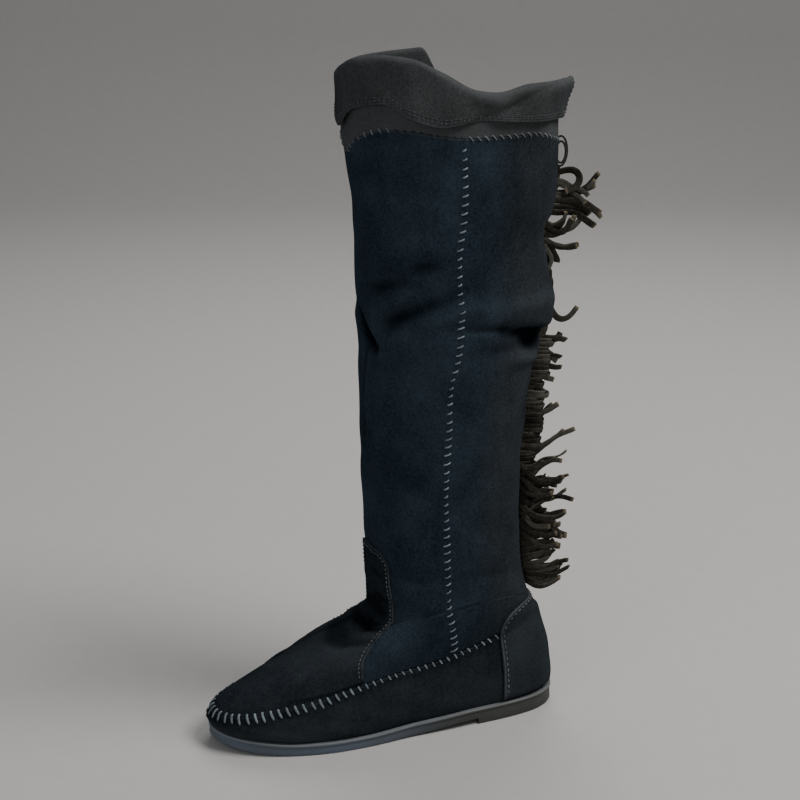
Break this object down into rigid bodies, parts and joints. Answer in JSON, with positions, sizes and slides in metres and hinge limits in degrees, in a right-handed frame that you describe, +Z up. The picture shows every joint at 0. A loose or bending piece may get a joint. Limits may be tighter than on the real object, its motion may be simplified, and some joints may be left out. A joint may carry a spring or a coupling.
{
  "type": "moccasin boot",
  "caption": "Tall suede moccasin boot for the left foot with a whipstitched toe plug, a folded cuff, a fringe down the back seam and a low moulded sole.",
  "frame": {"origin": "on the floor, under the centre of the heel's flat tread", "axes": "+Z up along the leg, toe towards -Y, lateral side of the left boot towards +X"},
  "size_m": [0.103, 0.2988, 0.4919],
  "materials": {
    "rubber_sole": "satin moulded rubber",
    "sock_lining": "matt woven sock",
    "suede": "black suede, matt nap",
    "suede_cuff": "black suede, worn paler",
    "suede_fringe": "dark brown-black suede strips"
  },
  "bodies": {
    "root": {"outsole": "rubber_sole", "insole": "sock_lining", "upper": "suede", "shaft_front": "suede", "shaft_back": "suede", "heel_counter": "suede", "cuff": "suede_cuff", "fringe": "suede_fringe"}
  },
  "joints": []
}
